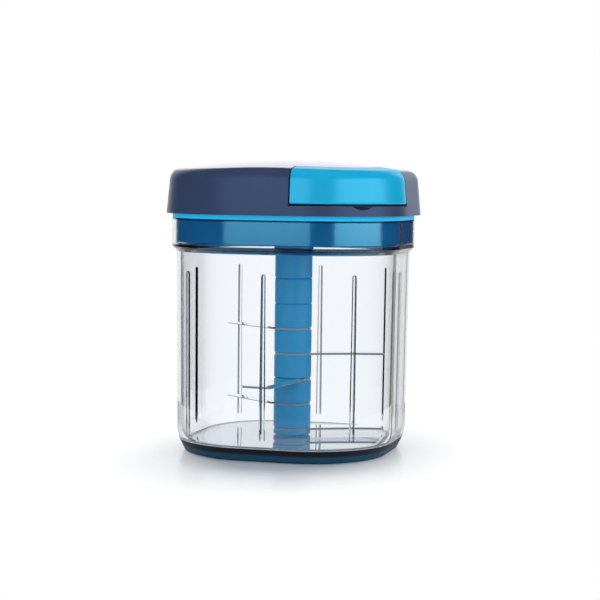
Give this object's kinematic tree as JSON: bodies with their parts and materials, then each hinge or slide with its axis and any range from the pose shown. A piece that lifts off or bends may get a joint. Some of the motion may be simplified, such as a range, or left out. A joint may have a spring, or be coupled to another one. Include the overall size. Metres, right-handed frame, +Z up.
{
  "type": "pull-cord vegetable chopper",
  "caption": "Hand chopper with a clear rounded-square bowl, a stack of steel blades on a blue shaft, and a domed grey lid whose corner handle pulls a cord to spin the blades.",
  "frame": {"origin": "centre of the bounding box's underside, on the table under the bowl's axis", "axes": "+Z up along the blade axis; +X and +Y square to the bowl's flat sides; the pull handle is at the corner between +X and -Y"},
  "size_m": [0.115, 0.115, 0.137],
  "materials": {
    "clear_bowl": "clear moulded styrene copolymer, polished",
    "foot_rubber": "dark blue soft elastomer, satin",
    "slate_cover": "slate-grey moulded plastic, satin gloss",
    "cyan_handle": "cyan moulded plastic, gloss",
    "cyan_seal": "cyan silicone",
    "blue_plastic": "blue moulded plastic, slightly translucent",
    "blue_shaft": "blue moulded plastic, satin gloss",
    "blade_steel": "stainless steel strip, ground edge",
    "bright_steel": "plain steel",
    "white_acetal": "natural white acetal",
    "cord_nylon": "braided nylon cord"
  },
  "bodies": {
    "bowl": {"bowl": "clear_bowl", "base_foot": "foot_rubber", "pivot_pin": "bright_steel"},
    "blades": {"blade_shaft": "blue_shaft", "shaft_collar_1": "blue_shaft", "shaft_collar_2": "blue_shaft", "shaft_collar_3": "blue_shaft", "shaft_collar_4": "blue_shaft", "shaft_collar_5": "blue_shaft", "shaft_collar_6": "blue_shaft", "blade_1": "blade_steel", "blade_2": "blade_steel", "blade_3": "blade_steel", "blade_4": "blade_steel", "blade_5": "blade_steel", "shaft_end_cap": "blue_shaft"},
    "lid": {"lid_cover": "slate_cover", "lid_plug": "blue_plastic", "seal_ring": "cyan_seal", "drive_bush": "white_acetal", "recoil_spring": "bright_steel", "spring_cover": "bright_steel", "cord_eyelet": "white_acetal", "cord_lead": "cord_nylon", "lid_screws": "bright_steel"},
    "spool": {"cord_spool": "white_acetal", "cord_winding": "cord_nylon", "drive_coupler": "white_acetal", "thrust_washer": "bright_steel", "spool_screw": "bright_steel"},
    "handle": {"pull_handle": "cyan_handle", "handle_back": "cyan_handle", "handle_screws": "bright_steel", "cord_knot": "cord_nylon"}
  },
  "joints": [
    {"name": "lid_lift", "type": "slide", "parent": "bowl", "child": "lid", "axis": [0, 0, 1], "range_m": [0, 0.08]},
    {"name": "handle_pull", "type": "slide", "parent": "lid", "child": "handle", "axis": [0.7071, -0.7071, 0], "range_m": [0, 0.36], "stiffness_N_per_m": 12, "springref_m": -0.2, "deforming": ["cord_lead"]},
    {"name": "spool_spin", "type": "hinge", "parent": "lid", "child": "spool", "pos_m": [0, 0, 0.11], "axis": [0, 0, 1], "range_deg": [0, 1210]},
    {"name": "blade_spin", "type": "hinge", "parent": "bowl", "child": "blades", "pos_m": [0, 0, 0.01], "axis": [0, 0, 1], "range_deg": [0, 1210]}
  ],
  "couplings": [
    {"joint": "spool_spin", "follows": "handle_pull", "rad_per_m": 58.48},
    {"joint": "blade_spin", "follows": "handle_pull", "rad_per_m": 58.48}
  ]
}
